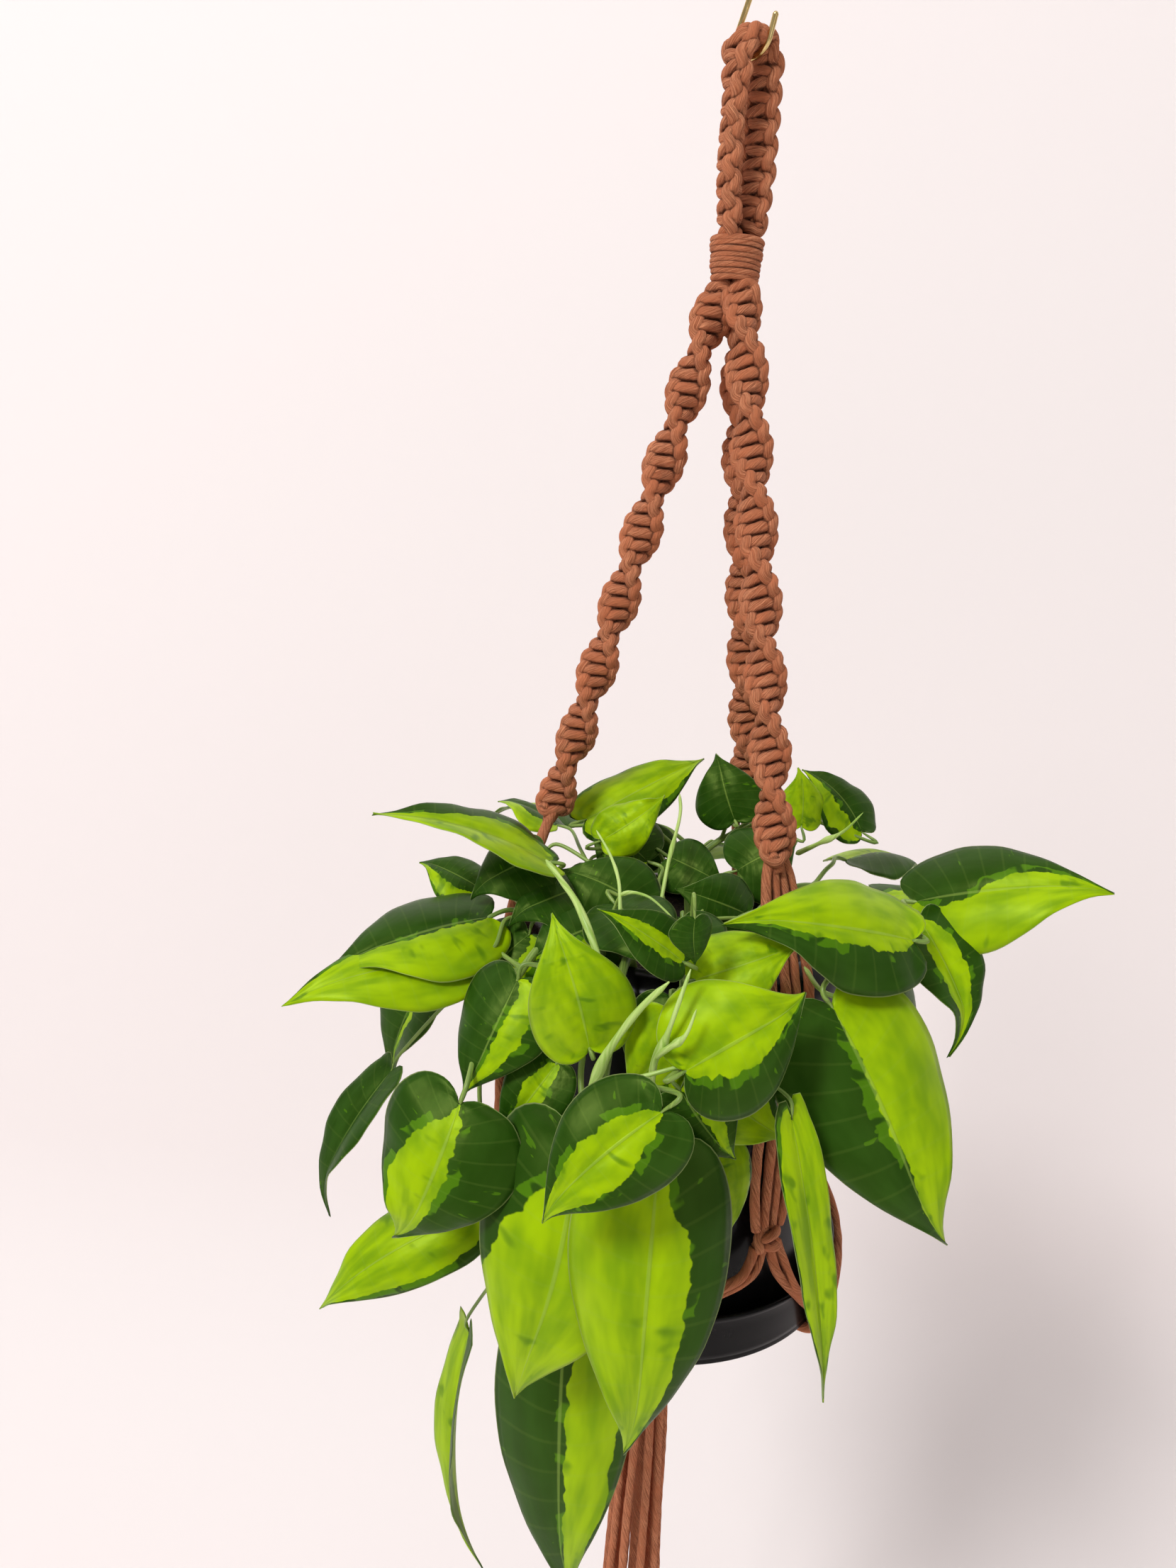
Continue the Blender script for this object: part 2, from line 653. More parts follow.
def make_strap(material):
    """Square knots in a flat strap that goes up one leg, over the hook and down the other."""
    plane = np.array((math.cos(math.radians(50)), math.sin(math.radians(50)), 0))
    fold_z = STRAP_APEX_Z - STRAP_THICKNESS / 2 - STRAP_FOLD_R
    knee_z = WRAP_TOP_Z + 22
    foot_z = WRAP_TOP_Z - 2
    spine = [(-STRAP_FOOT_OFFSET, foot_z), (-STRAP_FOLD_R, knee_z), (-STRAP_FOLD_R, fold_z - 12)]
    spine += arc((0, fold_z), STRAP_FOLD_R, 180, 0, 9)
    spine += [(STRAP_FOLD_R, fold_z - 12), (STRAP_FOLD_R, knee_z), (STRAP_FOOT_OFFSET, foot_z)]
    line = through([plane * s + np.array((0, 0, z)) for s, z in spine], 0.5)
    length = 0.5 * (len(line) - 1)
    tangent = unit(np.gradient(line, axis=0))
    share = np.linspace(0, 1, len(line))
    width_az = np.radians(np.interp(share, (0, 0.30, 0.44, 0.56, 0.70, 1), (-78, -82, -52, -38, -30, -26)))
    width = np.stack((np.cos(width_az), np.sin(width_az), np.zeros(len(line))), axis=1)
    width = unit(width - tangent * np.sum(width * tangent, axis=1, keepdims=True))
    normal = np.cross(tangent, width)

    def place(across, outwards, down):
        i = min(max(down / length, 0), 1) * (len(line) - 1)
        j = int(i)
        j2 = min(j + 1, len(line) - 1)
        w = i - j
        p = line[j] * (1 - w) + line[j2] * w
        return p + width[j] * across + normal[j] * outwards

    tubes = Tubes()
    pitch = 4.72
    add_sennit(tubes, place, int(length / pitch), False, pitch, 5.4, 2.45, 2.32, length, lead=2.0)
    hung(tubes, "loop_sennit", material)


def make_wrap(name, nodes, top, bottom, radius, taper, turns, material):
    """Flattened turns of cord wound tight round the gathered cords."""
    tubes = Tubes()
    pitch = (top - bottom) / turns
    count = turns * 40
    share = np.linspace(0, 1, count)
    angle = share * 2 * math.pi * turns + 0.6
    low = bottom + pitch * 0.5
    high = top - pitch * 0.5
    z = high - (high - low) * share
    z += 0.22 * np.sin(angle * 0.5 + 1.0) + 0.18 * np.sin(angle * 1.3)
    reach = radius - 1.35 + 0.18 * np.sin(angle * 0.7 + 2) + taper * (0.5 - share)
    path = np.stack((reach * np.cos(angle), reach * np.sin(angle), z), axis=1)
    side = np.stack((np.cos(angle), np.sin(angle), np.zeros(count)), axis=1)
    tubes.add(path, 1.42, sides=14, flat=(1.0, 0.97), side=side, lobes=0.02, wobble=0.06)
    placed(tubes.make(name, material), "hanger", "cotton_cord", *nodes)


# ---------------------------------------------------------------- net round the pot
# Sideways place of each of an arm's four cords: at the arm, the pot's shoulder, its side, the knot.
SIDE_LANES = [(-6.6, -9.4, -9.2, -4.9), (-2.2, -2.4, -2.3, -2.25),
              (2.2, 2.4, 2.3, 2.25), (6.6, 9.6, 9.2, 4.9)]


def side_routes(azimuth):
    start_r = ARM_START_R + (WRAP_BOTTOM_Z - ARM_END_Z + 1.2) * math.tan(ARM_TILT)
    knot_top = CRADLE_KNOT_Z + 6.5
    routes = []
    for at_arm, at_shoulder, at_side, at_knot in SIDE_LANES:
        inner = abs(at_knot) < 3
        route = [polar(azimuth, start_r - 1.5, ARM_END_Z + 5, at_arm * 0.5),
                 polar(azimuth, start_r, ARM_END_Z - 1.2, at_arm),
                 polar(azimuth, 76.0, -400.0, at_shoulder * 0.8 + at_arm * 0.2),
                 polar(azimuth, SIDE_CORD_R + 0.8, -416.0, at_shoulder),
                 polar(azimuth, SIDE_CORD_R - 0.2, -470.0, at_side * 1.02)]
        if inner:
            route.append(polar(azimuth, SIDE_CORD_R, knot_top - 3, at_knot))
        else:
            route.append(polar(azimuth, SIDE_CORD_R, knot_top + 10, at_side * 0.93))
            route.append(polar(azimuth, SIDE_CORD_R, knot_top - 1.0, at_knot * 1.2))
        routes.append(route)
    return routes


def net_routes(azimuth):
    knot_bottom = CRADLE_KNOT_Z - 6.5
    routes = []
    for way in (-1, 1):
        for upper in (0, 1):
            at_knot = 2.4 + 4.9 * upper
            drop = 0 if upper else -4.5
            lane = 7.2 if upper else 2.4
            span = BASE_KNOT_TURN if way > 0 else 120 - BASE_KNOT_TURN
            spread = 3 if way > 0 else 8
            edge = span - math.degrees(lane / NET_R)
            route = [polar(azimuth, SIDE_CORD_R, knot_bottom + 3.5, way * at_knot * 0.8),
                     polar(azimuth, SIDE_CORD_R + 1.0, knot_bottom - 1.6, way * at_knot),
                     polar(azimuth, SIDE_CORD_R + 3.2, knot_bottom - 9.5 + drop / 3,
                           way * (at_knot + spread))]
            for step in (0.36, 0.54, 0.70, 0.86):
                route.append(polar(azimuth + way * edge * step, NET_R + 0.3,
                                   knot_bottom - 11 + drop - 42 * (step - 0.22)))
            route.append(polar(azimuth + way * edge, NET_R + 1.0, SAUCER_BOTTOM_Z + 2.4))
            route.append(polar(azimuth + way * span, NET_R - 3.4, UNDER_Z - 0.7, -way * lane))
            route.append(polar(azimuth + way * span, BASE_KNOT_R + 5, UNDER_Z - 0.5,
                               -way * (6.9 if upper else 2.3)))
            routes.append(route)
    return routes


def make_net(material):
    for side, azimuth in ARM_AZIMUTHS.items():
        between = azimuth + BASE_KNOT_TURN
        for name, routes in (("side_cords", side_routes(azimuth)), ("net_cords", net_routes(azimuth))):
            tubes = Tubes()
            for route in routes:
                tubes.add(inside(route), CORD_R, sides=14, lobes=0.03, wobble=0.05)
            hung(tubes, f"{name}_{side}", material)

        tubes = Tubes()
        for lane in (-1.5, -0.5, 0.5, 1.5):
            hub = between + 30 * lane
            route = [polar(between, BASE_KNOT_R - 4, UNDER_Z, 4.6 * lane),
                     polar(between, 40, UNDER_Z - 0.3, 4.9 * lane),
                     polar(hub, HUB_R + CORD_R + 0.6, UNDER_Z)]
            tubes.add(inside(route), CORD_R, sides=12, lobes=0.03, wobble=0.05)
        hung(tubes, f"under_cords_{side}", material)

        def on_side(across, outwards, down, azimuth=azimuth):
            return polar(azimuth, SIDE_CORD_R + 0.4 + outwards, CRADLE_KNOT_Z + 5.2 - down, across)

        tubes = Tubes()
        add_sennit(tubes, on_side, 2, False, 5.4, 5.3, 2.7, 2.1, 11.5, lead=1.8)
        hung(tubes, f"cradle_knot_{side}", material)

        def below(across, outwards, down, between=between):
            return polar(between, BASE_KNOT_R + 5.4 - down, SAUCER_BOTTOM_Z - 4.6 - outwards, across)

        tubes = Tubes()
        add_sennit(tubes, below, 2, False, 5.2, 5.4, 2.1, 2.0, 11.5, lead=2.2)
        hung(tubes, f"base_knot_{side}", material)


def make_hub(material):
    tubes = Tubes()
    for i in range(12):
        azimuth = ARM_AZIMUTHS["left"] + BASE_KNOT_TURN + 30 * (i + 0.5)
        tubes.add(inside([polar(azimuth, HUB_R + CORD_R + 1.6, UNDER_Z),
                          polar(azimuth, HUB_R - 1.5, UNDER_Z - 0.4),
                          polar(azimuth, 6.6, LOWER_WRAP_TOP_Z - 2),
                          polar(azimuth, 5.0, LOWER_WRAP_BOTTOM_Z + 2)]), CORD_R, sides=12, lobes=0.03)
    hung(tubes, "gathered_cords_lower", material)


# ---------------------------------------------------------------- fringe
def tassel_route(ring_r, azimuth, sway):
    points = [polar(azimuth, ring_r, TASSEL_TOP_Z)]
    for (z, spread), (out, sideways) in zip(TASSEL_LEVELS, sway):
        points.append(polar(azimuth, ring_r * spread + out, z, sideways))
    return points


def nurbs_line(name, route):
    """The points of a smooth NURBS line with the route's points as its control points."""
    curve = bpy.data.curves.new(name, "CURVE")
    curve.dimensions = "3D"
    spline = curve.splines.new("NURBS")
    spline.points.add(len(route) - 1)
    for point, p in zip(spline.points, route):
        point.co = (*(p * MM), 1)
    spline.order_u = 3
    spline.use_endpoint_u = True
    spline.resolution_u = 24
    holder = bpy.data.objects.new(name, curve)
    bpy.context.collection.objects.link(holder)
    bpy.context.view_layer.update()
    mesh = bpy.data.meshes.new_from_object(holder)
    line = np.array([v.co[:] for v in mesh.vertices]) / MM
    bpy.data.objects.remove(holder)
    bpy.data.curves.remove(curve)
    bpy.data.meshes.remove(mesh)
    return line


def make_fringe(material):
    for i in range(TASSEL_INNER_COUNT + TASSEL_OUTER_COUNT):
        if i < TASSEL_INNER_COUNT:
            ring_r = TASSEL_INNER_R
            azimuth = 30 + i * 360 / TASSEL_INNER_COUNT
        else:
            ring_r = TASSEL_OUTER_R
            azimuth = 10 + (i - TASSEL_INNER_COUNT) * 360 / TASSEL_OUTER_COUNT
        name = f"tassel_cord_{i + 1:02d}"
        line = evenly(nurbs_line(name, tassel_route(ring_r, azimuth, TASSEL_SWAY[i])), 1.2)
        tubes = Tubes()
        tubes.add(line, CORD_R, sides=16, lobes=0.03, wobble=0.04)
        piece = placed(tubes.make(name, material), "tassel", "cotton_cord", name)


# ---------------------------------------------------------------- hook, pot and soil
def make_hook(material):
    lower = (0, HOOK_BOTTOM_Z + HOOK_BEND_R)
    upper = (0, -(HOOK_BEND_R - HOOK_WIRE_R))
    lean = math.degrees(math.asin(2 * HOOK_BEND_R / (upper[1] - lower[1])))
    lower_bend = arc(lower, HOOK_BEND_R, -HOOK_TIP_LEAN, -180 - lean, 30)
    upper_bend = arc(upper, HOOK_BEND_R, -lean, 180 + HOOK_TIP_LEAN, 30)
    tip = (lower_bend[0][0] + HOOK_TIP_LENGTH * math.sin(math.radians(HOOK_TIP_LEAN)),
           lower_bend[0][1] + HOOK_TIP_LENGTH * math.cos(math.radians(HOOK_TIP_LEAN)))
    flat = [tip] + lower_bend + upper_bend
    line = evenly([polar(HOOK_AZ, u, v) for u, v in flat], 0.5)
    radius = np.full(len(line), HOOK_WIRE_R)
    for end in (0, 1):
        for i, r in enumerate((0.45, 0.85, 1.05)):
            radius[i if end == 0 else -1 - i] = HOOK_WIRE_R * r
    tubes = Tubes()
    tubes.add(line, radius, sides=20)
    placed(tubes.make("s_hook", material), "hook", "brass", "s_hook")


def make_pot(material):
    inner = POT_R - POT_SHOULDER_R
    bend_z = POT_TOP_Z - POT_SHOULDER_R
    outside = [(0, POT_BOTTOM_Z), (POT_BOTTOM_R - 2, POT_BOTTOM_Z)]
    outside += arc((POT_BOTTOM_R - 2, POT_BOTTOM_Z + 2), 2, -90, 0, 5)
    side_z = POT_BOTTOM_Z + 2
    outside += [(POT_BOTTOM_R + (POT_R - POT_BOTTOM_R) * s, side_z + (bend_z - side_z) * s)
                for s in np.linspace(0.1, 1, 8)]
    outside += arc((inner, bend_z), POT_SHOULDER_R, 6, 84, 12)
    rim = arc((inner - 1.0, POT_TOP_Z - 1), 1, 90, 180, 5)
    inside_wall = arc((inner, bend_z), POT_SHOULDER_R - WALL, 90, 0, 10)
    inside_wall += [(POT_BOTTOM_R - WALL, POT_BOTTOM_Z + WALL), (0, POT_BOTTOM_Z + WALL)]
    placed(lathe("pot", outside + rim + inside_wall, material), "planted_pot", "pot_plastic", "pot")


def make_saucer(material):
    """A tray with a raised floor, a step above its bottom edge and a rolled rim."""
    floor_top = POT_BOTTOM_Z - 0.15
    r1, r2 = SAUCER_BOTTOM_R, SAUCER_TOP_R
    low, high = SAUCER_BOTTOM_Z, SAUCER_TOP_Z
    tray = [(0, low + 0.8), (58, low + 0.8), (60, low), (r1 - 1.2, low)]
    tray += arc((r1 - 1.1, low + 1.1), 1.1, -90, 0, 5)
    tray += [(r1 - 0.15, low + 2.4), (r1 - 0.15, low + 2.9), (r1 + 0.1, low + 3.2)]
    tray += [(r1 + (r2 - 0.7 - r1) * s, low + 3.2 + (high - low - 6.4) * s) for s in np.linspace(0.1, 1, 5)]
    tray += [(r2 - 0.5, high - 2.4)] + arc((r2 - 1.1, high - 1.1), 1.1, 0, 180, 9)
    tray += [(r1 - WALL, floor_top), (0, floor_top)]
    placed(lathe("saucer", tray, material), "planted_pot", "pot_plastic", "saucer")


def make_soil(material):
    """A lumpy crust of compost over the root ball."""
    rings = 26
    segments = 72
    edge = POT_R - 2.4
    noise = random.Random(3)
    waves = [(noise.uniform(0.03, 0.25), noise.uniform(0.03, 0.25), noise.uniform(0, 6.3)) for _ in range(16)]

    def lump(x, y):
        return sum(math.sin(x * a * 3 + y * b * 3 + c) for a, b, c in waves) * 0.14

    profile = [(0, POT_BOTTOM_Z + 2.3), (POT_BOTTOM_R - 2.3, POT_BOTTOM_Z + 2.3), (edge, SOIL_TOP_Z - 3)]
    profile += [(edge * i / rings, SOIL_TOP_Z - 1.2) for i in range(rings, -1, -1)]
    piece = lathe("potting_soil", profile, material, segments)
    for v in piece.data.vertices:
        x, y, z = v.co / MM
        if z > SOIL_TOP_Z - 1.6:
            fade = min(1.0, (edge - math.hypot(x, y)) / 6)
            v.co.z += (lump(x, y) + noise.uniform(-0.35, 0.35)) * fade * MM
    placed(piece, "planted_pot", "soil", "potting_soil")


# ---------------------------------------------------------------- plant
# Leaf: base, tip, width, face (azimuth, elevation), arch, where on the stem its stalk grows,
# lime zone across the blade, fold of its sides, edge wave, curl of its tip. A zone is its low and
# high border from -1 to 1, and four numbers give the borders at the base and then at the tip.
VINES = {
    "left_upper": ([(-22, -8, -422), (-34, -12, -402), (-52, -22, -396), (-66, -34, -402)], [
        ((-58, -42, -373), (-126, -66, -350), 40, (-100, 78), 5, 0.65, (-0.75, 1.3, -0.2, 1.3), 0.10, 0.9, 3),
        ((-82, -45, -399), (-143, -80, -414), 50, (-115, 52), 8, 0.97, (0.10, 1.3), -0.10, 0.8, 2),
        ((-83, -62, -408), (-155, -95, -422), 40, (-100, 50), 5, 0.97, (-0.9, 1.3), -0.12, 1.2, 3),
        ((-90, -24, -394), (-119, -16, -386), 28, (-150, 60), 3, 0.97, (0.5, 0.9), -0.1, 0.6, 1),
        ((-64, 30, -378), (-94, 38, -370), 30, (160, 70), 3, 0.35, (0.4, 1.2), -0.1, 0.6, 1),
    ]),
    "left_lower": ([(-36, -30, -424), (-46, -44, -402), (-62, -66, -403), (-74, -84, -434)], [
        ((-107, -30, -427), (-129, -28, -487), 38, (-130, 10), 4, 0.65, (0.15, 0.35), 0.2, 0.8, 2),
        ((-79, -110, -450), (-99, -120, -508), 60, (-100, 20), 7, 0.97, (-0.08, 0.12, -1.2, 0.45), -0.15, 1.8, 4),
        ((-78, -84, -516), (-142, -93, -566), 36, (-95, 42), 8, 0.97, (-1.3, 0.8), -0.2, 2.0, 5),
        ((-119, -60, -467), (-150, -70, -531), 26, (-140, 10), 6, 0.65, (2, 2), 0.3, 0.8, 6),
    ]),
    "front_left": ([(-28, -42, -424), (-32, -56, -402), (-34, -84, -400), (-34, -98, -428)], [
        ((-62, -88, -407), (-79, -102, -452), 42, (-110, 28), 4, 0.65, (0.18, 0.66), -0.15, 0.7, 2),
        ((-30, -119, -417), (-48, -111, -370), 40, (-85, 8), 5, 0.97, (-1.3, 1.3), -0.1, 1.0, 2),
        ((-44, -97, -436), (-65, -103, -468), 28, (-100, 22), 3, 0.97, (-0.3, 0.35), 0.1, 0.5, 1),
        ((-33, -115, -457), (-54, -130, -563), 72, (-95, 14), 10, 0.97, (0.0, 1.3, -1.7, 1.3), -0.16, 1.6, 3),
    ]),
    "front": ([(-18, -44, -424), (-20, -60, -400), (-23, -92, -403), (-25, -103, -442), (-30, -98, -500)], [
        ((-2, -128, -454), (-2, -140, -574), 60, (-86, 14), 10, 0.97, (-1.3, 0.25, -1.3, 0.75), -0.18, 1.6, 4),
        ((-2, -150, -422), (-41, -160, -462), 42, (-80, 32), 5, 0.65, (-0.22, 0.30, -0.75, 0.75), -0.05, 0.7, 2),
        ((-79, -72, -583), (-73, -72, -712), 24, (-150, 4), 8, 0.97, (-1.3, 0.2), 0.5, 0.8, 4),
        ((-35, -95, -548), (-28, -100, -690), 60, (-94, 6), 9, 0.97, (0.14, 0.7, 0.02, 0.95), -0.15, 1.2, 3),
    ]),
    "crown": ([(-4, -20, -423), (-6, -34, -404), (2, -62, -396), (2, -92, -404)], [
        ((1, -112, -383), (-30, -118, -363), 22, (-70, 30), 2, 0.97, (-0.35, 0.3), 0.1, 0.4, 1),
        ((4, -118, -364), (6, -121, -380), 17, (-60, 5), 1, 0.97, (2, 2), -0.1, 0.3, 1),
        ((-1, -108, -408), (-17, -110, -438), 30, (-90, 10), 2, 0.97, (-1.3, 1.3), -0.1, 0.6, 1),
        ((-16, -42, -391), (-54, -34, -379), 36, (-100, 40), 3, 0.35, (2, 2), -0.1, 0.8, 1),
        ((26, -40, -389), (-4, -47, -378), 30, (-90, 35), 3, 0.65, (2, 2), -0.1, 0.7, 1),
        ((-32, -48, -396), (-62, -64, -408), 40, (-105, 42), 5, 0.35, (0.2, 0.6), -0.15, 1.0, 3),
        ((-28, -56, -384), (-8, -86, -400), 38, (-88, 45), 4, 0.35, (2, 2), -0.15, 1.0, 3),
        ((0, -60, -386), (10, -86, -406), 34, (-90, 38), 4, 0.65, (-0.2, 0.3), -0.15, 0.8, 3),
        ((62, -38, -386), (80, -58, -404), 38, (-70, 42), 4, 0.65, (2, 2), -0.15, 1.0, 3),
        ((-46, -34, -386), (-74, -50, -396), 36, (-110, 48), 4, 0.35, (2, 2), -0.15, 1.0, 3),
        ((-18, -8, -380), (-46, 2, -370), 38, (-95, 45), 4, 0.35, (0.3, 0.6), -0.15, 0.8, 2),
        ((22, -16, -378), (48, -8, -366), 38, (-85, 45), 4, 0.65, (2, 2), -0.15, 0.8, 2),
        ((-62, -30, -374), (-92, -42, -390), 34, (-105, 35), 4, 0.35, (2, 2), -0.15, 0.8, 2),
        ((-64, -48, -404), (-86, -60, -438), 36, (-105, 25), 4, 0.35, (0.3, 0.6), -0.15, 0.8, 2),
        ((-2, -98, -404), (4, -112, -446), 36, (-92, 12), 4, 0.97, (-0.1, 1.3), -0.15, 0.8, 2),
    ]),
    "front_right": ([(10, -44, -424), (12, -58, -402), (16, -88, -402), (20, -100, -428)], [
        ((5, -135, -414), (47, -118, -390), 50, (-72, 28), 5, 0.97, (-0.40, 1.3), -0.1, 1.0, 2),
        ((6, -100, -395), (44, -95, -379), 34, (-85, 45), 3, 0.65, (-1.3, 1.3), -0.1, 0.8, 1),
        ((4, -115, -432), (26, -118, -457), 34, (-95, 12), 3, 0.97, (0.1, 0.6), -0.1, 0.7, 1),
        ((14, -109, -427), (46, -106, -452), 36, (-80, 15), 3, 0.97, (-1.3, 0.6), -0.1, 0.8, 1),
        ((19, -104, -458), (28, -99, -501), 24, (-85, 5), 2, 0.97, (-0.2, 0.9), -0.05, 0.6, 1),
        ((44, -124, -434), (69, -119, -558), 18, (-62, 6), 5, 0.97, (-0.85, 1.3), 0.25, 1.2, 2),
    ]),
    "right": ([(34, -16, -422), (44, -20, -402), (64, -34, -390), (84, -46, -388)], [
        ((88, -75, -381), (15, -102, -368), 46, (-84, 42), 6, 0.97, (-1.3, 0.28), -0.15, 1.6, 2),
        ((97, -26, -382), (169, -45, -362), 50, (-60, 42), 5, 0.97, (-0.95, -0.25, -1.3, 0.75), -0.1, 1.0, 2),
        ((96, -42, -384), (120, -64, -428), 36, (-58, 30), 5, 0.97, (-0.4, 0.4), 0.15, 1.2, 7),
        ((58, -94, -403), (104, -114, -491), 66, (-72, 16), 7, 0.97, (0.0, 1.3), -0.15, 1.4, 6),
        ((88, -2, -390), (126, 12, -404), 40, (0, 55), 5, 0.97, (-0.5, 0.3), -0.15, 1.0, 3),
    ]),
    "rear_top": ([(4, 10, -422), (0, 16, -398), (4, 22, -384), (16, 26, -376)], [
        ((50, 14, -364), (48, 24, -339), 24, (-70, 12), 2, 0.97, (-1.3, 1.3), -0.1, 0.5, 1),
        ((20, 14, -364), (10, 28, -336), 32, (-100, 18), 3, 0.97, (2, 2), -0.1, 0.7, 1),
        ((-47, 2, -366), (5, 36, -341), 32, (-80, 50), 6, 0.65, (-0.8, 0.9), -0.1, 1.0, 2),
        ((-38, -14, -370), (-12, -6, -350), 24, (-90, 30), 3, 0.35, (-1.3, 1.3), -0.1, 1.8, 1),
        ((78, 20, -366), (50, 38, -343), 28, (-70, 40), 4, 0.97, (0.3, 0.8), -0.1, 1.0, 1),
        ((-12, 18, -386), (-32, 24, -369), 26, (-90, 30), 2, 0.35, (2, 2), -0.1, 0.6, 1),
        ((-8, -6, -378), (17, -14, -386), 28, (-90, 40), 2, 0.35, (2, 2), -0.1, 0.6, 1),
    ]),
    "rear": ([(10, 40, -423), (12, 58, -402), (4, 80, -398), (-4, 96, -416)], [
        ((-30, 84, -390), (-70, 118, -402), 50, (120, 55), 6, 0.65, (-0.2, 1.3), -0.15, 1.0, 2),
        ((-12, 108, -424), (-26, 124, -500), 58, (100, 18), 7, 0.97, (-0.4, 0.3), -0.15, 1.2, 3),
        ((14, 104, -404), (40, 140, -432), 52, (75, 45), 6, 0.97, (0.1, 1.3), -0.15, 1.0, 3),
        ((34, 100, -436), (54, 114, -520), 48, (70, 14), 6, 0.97, (-1.3, 0.1), -0.15, 1.2, 3),
        ((-56, 66, -384), (-104, 70, -386), 46, (150, 62), 5, 0.35, (-0.5, 0.5), -0.15, 1.0, 2),
        ((-52, 92, -420), (-72, 100, -486), 46, (125, 16), 5, 0.97, (-1.3, 0.3), -0.15, 1.0, 3),
    ]),
    "rear_right": ([(24, 14, -424), (38, 22, -402), (64, 36, -396), (82, 46, -410)], [
        ((78, 58, -392), (122, 80, -402), 50, (40, 58), 6, 0.65, (-0.1, 1.3), -0.15, 1.0, 2),
        ((86, 66, -424), (98, 82, -490), 48, (45, 18), 5, 0.97, (-0.5, 0.2), -0.15, 1.0, 3),
        ((98, 32, -420), (114, 40, -478), 44, (10, 18), 5, 0.97, (0.0, 1.3), -0.15, 1.0, 3),
    ]),
}

RIBS = 34
CELLS = 9
BLADE_HALF = 0.35
# Half outline of a heart-shaped blade: share of its length, share of its half width.
OUTLINE = [(0.0, 0.0), (-0.055, 0.15), (-0.082, 0.40), (-0.035, 0.68), (0.09, 0.91), (0.25, 1.0),
           (0.42, 0.93), (0.57, 0.74), (0.70, 0.50), (0.81, 0.28), (0.90, 0.12), (0.96, 0.045), (1.0, 0.0)]


def leaf_mesh(base, tip, width, face, arch, fold, wave, curl, seed):
    """One blade as a closed thin sheet. Its ribs fan from the midrib like the side veins."""
    base = np.array(base, float)
    tip = np.array(tip, float)
    length = np.linalg.norm(tip - base)
    along = (tip - base) / length
    looks = polar(face[0], math.cos(math.radians(face[1])), math.sin(math.radians(face[1])))
    up = unit(looks - along * np.dot(looks, along))
    left = np.cross(up, along)
    outline = through([(x, y, 0) for x, y in OUTLINE], 0.002)
    gaps = np.linalg.norm(np.diff(outline * (1, width / 2 / length, 1), axis=0), axis=1)
    run = np.concatenate(([0], np.cumsum(gaps)))
    run /= run[-1]
    share = np.linspace(0.0, 1.0, RIBS)
    edge_x = np.interp(share, run, outline[:, 0])
    edge_y = np.maximum(np.interp(share, run, outline[:, 1]), 0.0)
    root_x = share ** 1.25 * 0.985
    pick = random.Random(seed)
    phase = pick.uniform(0, 6.28)
    lean = pick.uniform(-0.05, 0.05)
    cells = np.linspace(-1, 1, 2 * CELLS + 1)
    rows = []
    marks = []
    for i in range(RIBS):
        for t in cells:
            a = abs(t)
            x = root_x[i] + (edge_x[i] - root_x[i]) * a ** 1.15
            y = math.copysign(edge_y[i] * a, t)
            across = y * width / 2
            bend = 1 - (2 * min(max(x, 0), 1) - 1) ** 2
            z = arch * bend
            z += fold * abs(across) * (0.4 + 0.6 * bend)
            z += 0.050 * width * math.sin(math.pi * min(abs(y), 1) ** 0.8) * max(bend, 0)
            z -= 0.16 * width / 2 * y * y * (1 if fold < 0 else 0)
            z += wave * a ** 3 * math.sin(2 * math.pi * (share[i] * 2.3 + 0.25 * math.copysign(1, t)) + phase)
            z += 0.25 * wave * a * a * math.sin(2 * math.pi * share[i] * 6.1 + 2 * phase)
            tail = max(0.0, (x - 0.66) / 0.34)
            z -= curl * tail ** 2
            sweep = lean * width * bend * 2 + curl * 1.3 * math.sin(phase) * tail ** 2
            rows.append(base + along * (x * length) + left * (across + sweep) + up * z)
            marks.append((share[i], t, seed % 97 / 97, x))
    rows = np.array(rows)
    n = len(rows)
    wide = 2 * CELLS + 1
    grid = rows.reshape(RIBS, wide, 3)
    du = np.gradient(grid, axis=0)
    dv = np.gradient(grid, axis=1)
    normal = np.cross(dv, du)
    size = np.linalg.norm(normal, axis=2, keepdims=True)
    normal = np.where(size > 1e-9, normal / np.maximum(size, 1e-9), up)
    normal *= np.sign(np.sum(normal * up, axis=2, keepdims=True) + 1e-9)
    normal = normal.reshape(-1, 3)
    thick = np.full(n, BLADE_HALF)
    rim = np.abs(np.tile(cells, RIBS)) > 0.99
    thick[rim] = BLADE_HALF * 0.35
    top = rows + normal * thick[:, None]
    bottom = rows - normal * thick[:, None]
    return top, bottom, np.array(marks)


